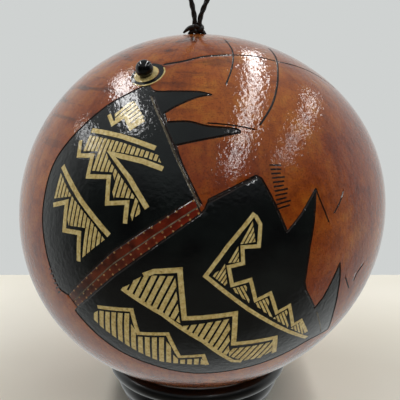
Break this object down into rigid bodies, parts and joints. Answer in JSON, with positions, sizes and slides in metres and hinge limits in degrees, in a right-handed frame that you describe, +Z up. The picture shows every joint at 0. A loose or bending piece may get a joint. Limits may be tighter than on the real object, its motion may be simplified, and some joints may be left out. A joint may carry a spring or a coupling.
{
  "type": "decorated gourd rattle on a ring stand",
  "caption": "Round carved and lacquered gourd shell with a stone eye, loose seeds inside and a cord loop on top, resting in a turned black ring stand.",
  "frame": {"origin": "centre of the stand's foot, on the table", "axes": "+Z up through the gourd's two poles; the carved front faces -Y, and +X is to its right as seen from the front"},
  "size_m": [0.15, 0.15, 0.2069],
  "materials": {
    "stand_lacquer": "turned hardwood, black gloss lacquer",
    "gourd_lacquer": "dried gourd shell, carved, burned and dyed, under a gloss lacquer coat",
    "black_stone": "polished opaque black cabochon",
    "waxed_cord": "twisted cotton cord, black wax",
    "dried_seed": "dry papery seed coat"
  },
  "bodies": {
    "stand": {"ring_stand": "stand_lacquer"},
    "gourd": {"gourd_shell": "gourd_lacquer", "eye_stone": "black_stone", "cord_anchor": "waxed_cord"},
    "loop": {"cord_loop": "waxed_cord", "cord_knot": "waxed_cord"},
    "loose_seeds": {"seeds": "dried_seed"}
  },
  "joints": [
    {"name": "gourd_lift", "type": "slide", "parent": "stand", "child": "gourd", "axis": [0, 0, 1], "range_m": [0, 0.12]},
    {"name": "loop_tilt", "type": "hinge", "parent": "gourd", "child": "loop", "pos_m": [0, 0, 0.1554], "axis": [1, 0, 0], "range_deg": [-95, 95], "stiffness_Nm_per_rad": 0.0006},
    {"name": "seed_roll", "type": "hinge", "parent": "gourd", "child": "loose_seeds", "pos_m": [0, 0, 0.08135], "axis": [0, 1, 0], "range_deg": [-60, 60]}
  ]
}
